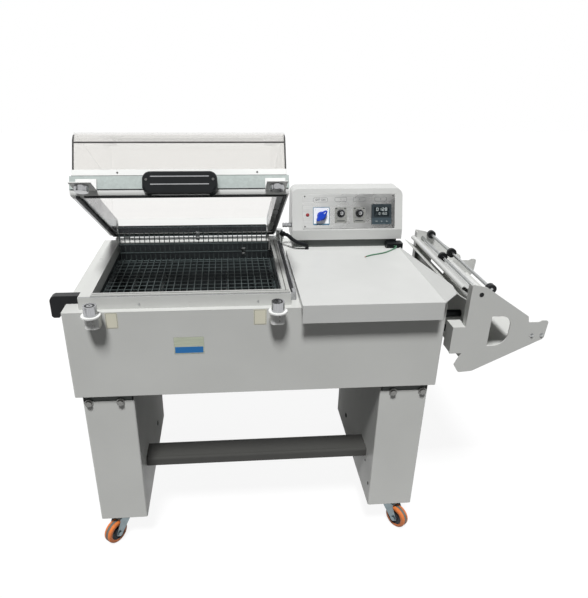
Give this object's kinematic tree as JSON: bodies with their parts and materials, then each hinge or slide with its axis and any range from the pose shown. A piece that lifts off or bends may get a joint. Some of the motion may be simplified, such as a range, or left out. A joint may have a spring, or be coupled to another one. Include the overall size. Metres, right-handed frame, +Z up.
{
  "type": "l-bar sealer with shrink chamber",
  "caption": "Floor-standing L-bar film sealer with a hinged clear hood over a heated wire-tray chamber, work table, sloped control box and side film unwinder, on swivel casters.",
  "frame": {"origin": "on the floor, under the middle of the machine's bounding box", "axes": "+X to the operator's right, towards the film unwinder; +Y to the back; +Z up"},
  "size_m": [1.3984, 0.653, 1.2466],
  "materials": {
    "grey_paint": "semi-matt powder coat",
    "white_paint": "semi-gloss paint",
    "table_paint": "semi-matt powder coat",
    "black_wire": "black coating",
    "steel": "zinc plated",
    "galvanised": "dull",
    "tub_steel": "heat dulled",
    "chrome": "polished",
    "faceplate": "brushed",
    "black_plastic": "matt moulded",
    "clear_cover": "clear acrylic",
    "black_rubber": "matt",
    "orange_tyre": "satin",
    "dark_iron": "laminated",
    "red_lens": "gloss",
    "white_plate": "satin print",
    "blue_plastic": "satin",
    "green_lead": "satin sleeve"
  },
  "bodies": {
    "machine": {"cabinet_wrap": "grey_paint", "top_deck": "white_paint", "rear_cover": "grey_paint", "floor_pan": "grey_paint", "left_leg": "grey_paint", "right_leg": "grey_paint", "leg_bolts": "steel", "tie_beam": "grey_paint", "caster_plates": "steel", "chamber_tub": "tub_steel", "heater_tubes": "steel", "fan_motor": "dark_iron", "seal_transformer": "dark_iron", "mesh_tray": "black_wire", "rim_rails": "white_paint", "side_seal_rail": "galvanised", "lower_seal_strips": "black_rubber", "magnets": "chrome", "magnet_brackets": "white_paint", "side_handle": "black_plastic", "work_table": "table_paint", "hinge_posts": "steel", "control_box": "table_paint", "control_faceplate": "faceplate", "control_plinth": "black_wire", "indicator_lamp": "red_lens", "scale_plates": "white_plate", "temperature_controller": "black_plastic", "cable_conduit": "black_plastic", "cable_glands": "black_plastic", "earth_lead": "green_lead", "unwinder_front_plate": "grey_paint", "unwinder_rear_plate": "grey_paint", "unwinder_mounts": "black_plastic", "upper_guide_board": "table_paint", "film_trough": "grey_paint", "rod_bearings": "black_plastic"},
    "hood": {"hood_frame": "galvanised", "hood_cover": "clear_cover", "hood_handle": "black_plastic", "armatures": "white_paint", "hood_seals": "black_rubber", "hinge_shaft": "steel"},
    "fan": {"fan_wheel": "steel"},
    "main_switch": {"main_switch_knob": "blue_plastic"},
    "timer_left": {"timer_knob_left": "black_plastic"},
    "timer_right": {"timer_knob_right": "black_plastic"},
    "key_set": {"controller_key_set": "black_plastic"},
    "key_down": {"controller_key_down": "black_plastic"},
    "key_up": {"controller_key_up": "black_plastic"},
    "upper_rod": {"upper_film_rod": "steel"},
    "lower_rod": {"lower_film_rod": "steel"},
    "fork_front_left": {"caster_fork_front_left": "steel"},
    "wheel_front_left": {"caster_wheel_front_left": "orange_tyre"},
    "fork_front_right": {"caster_fork_front_right": "steel"},
    "wheel_front_right": {"caster_wheel_front_right": "orange_tyre"},
    "fork_rear_left": {"caster_fork_rear_left": "steel"},
    "wheel_rear_left": {"caster_wheel_rear_left": "orange_tyre"},
    "fork_rear_right": {"caster_fork_rear_right": "steel"},
    "wheel_rear_right": {"caster_wheel_rear_right": "orange_tyre"}
  },
  "joints": [
    {"name": "hood_hinge", "type": "hinge", "parent": "machine", "child": "hood", "pos_m": [-0.33823, 0.2385, 0.856], "axis": [1, 0, 0], "range_deg": [0, 30], "stiffness_Nm_per_rad": 20, "springref_deg": -85.94},
    {"name": "fan_spin", "type": "hinge", "parent": "machine", "child": "fan", "pos_m": [-0.33273, -0.0135, 0.65], "axis": [0, 0, 1], "continuous": true},
    {"name": "main_switch_turn", "type": "hinge", "parent": "machine", "child": "main_switch", "pos_m": [0.09577, 0.22168, 0.93354], "axis": [0, -0.9487, 0.3162], "range_deg": [0, 90]},
    {"name": "timer_left_turn", "type": "hinge", "parent": "machine", "child": "timer_left", "pos_m": [0.16277, 0.22405, 0.94065], "axis": [0, -0.9487, 0.3162], "range_deg": [-140, 140]},
    {"name": "timer_right_turn", "type": "hinge", "parent": "machine", "child": "timer_right", "pos_m": [0.22677, 0.22405, 0.94065], "axis": [0, -0.9487, 0.3162], "range_deg": [-140, 140]},
    {"name": "upper_rod_spin", "type": "hinge", "parent": "machine", "child": "upper_rod", "pos_m": [0.51077, 0.0775, 0.846], "axis": [0, 1, 0], "continuous": true},
    {"name": "lower_rod_spin", "type": "hinge", "parent": "machine", "child": "lower_rod", "pos_m": [0.48277, 0.0775, 0.832], "axis": [0, 1, 0], "continuous": true},
    {"name": "key_set_press", "type": "slide", "parent": "machine", "child": "key_set", "axis": [0, 0.9487, -0.3162], "range_m": [0, 0.0008], "stiffness_N_per_m": 300},
    {"name": "key_down_press", "type": "slide", "parent": "machine", "child": "key_down", "axis": [0, 0.9487, -0.3162], "range_m": [0, 0.0008], "stiffness_N_per_m": 300},
    {"name": "key_up_press", "type": "slide", "parent": "machine", "child": "key_up", "axis": [0, 0.9487, -0.3162], "range_m": [0, 0.0008], "stiffness_N_per_m": 300},
    {"name": "swivel_front_left", "type": "hinge", "parent": "machine", "child": "fork_front_left", "pos_m": [-0.58523, -0.2275, 0.1], "axis": [0, 0, 1], "continuous": true},
    {"name": "wheel_front_left", "type": "hinge", "parent": "fork_front_left", "child": "wheel_front_left", "pos_m": [-0.60474, -0.25159, 0.0375], "axis": [0.7771, -0.6293, 0], "continuous": true},
    {"name": "swivel_front_right", "type": "hinge", "parent": "machine", "child": "fork_front_right", "pos_m": [0.30077, -0.2275, 0.1], "axis": [0, 0, 1], "continuous": true},
    {"name": "wheel_front_right", "type": "hinge", "parent": "fork_front_right", "child": "wheel_front_right", "pos_m": [0.31899, -0.25258, 0.0375], "axis": [0.809, 0.5878, 0], "continuous": true},
    {"name": "swivel_rear_left", "type": "hinge", "parent": "machine", "child": "fork_rear_left", "pos_m": [-0.58523, 0.2465, 0.1], "axis": [0, 0, 1], "continuous": true},
    {"name": "wheel_rear_left", "type": "hinge", "parent": "fork_rear_left", "child": "wheel_rear_left", "pos_m": [-0.59833, 0.2746, 0.0375], "axis": [-0.9063, -0.4226, 0], "continuous": true},
    {"name": "swivel_rear_right", "type": "hinge", "parent": "machine", "child": "fork_rear_right", "pos_m": [0.30077, 0.2465, 0.1], "axis": [0, 0, 1], "continuous": true},
    {"name": "wheel_rear_right", "type": "hinge", "parent": "fork_rear_right", "child": "wheel_rear_right", "pos_m": [0.31532, 0.27387, 0.0375], "axis": [-0.8829, 0.4695, 0], "continuous": true}
  ]
}
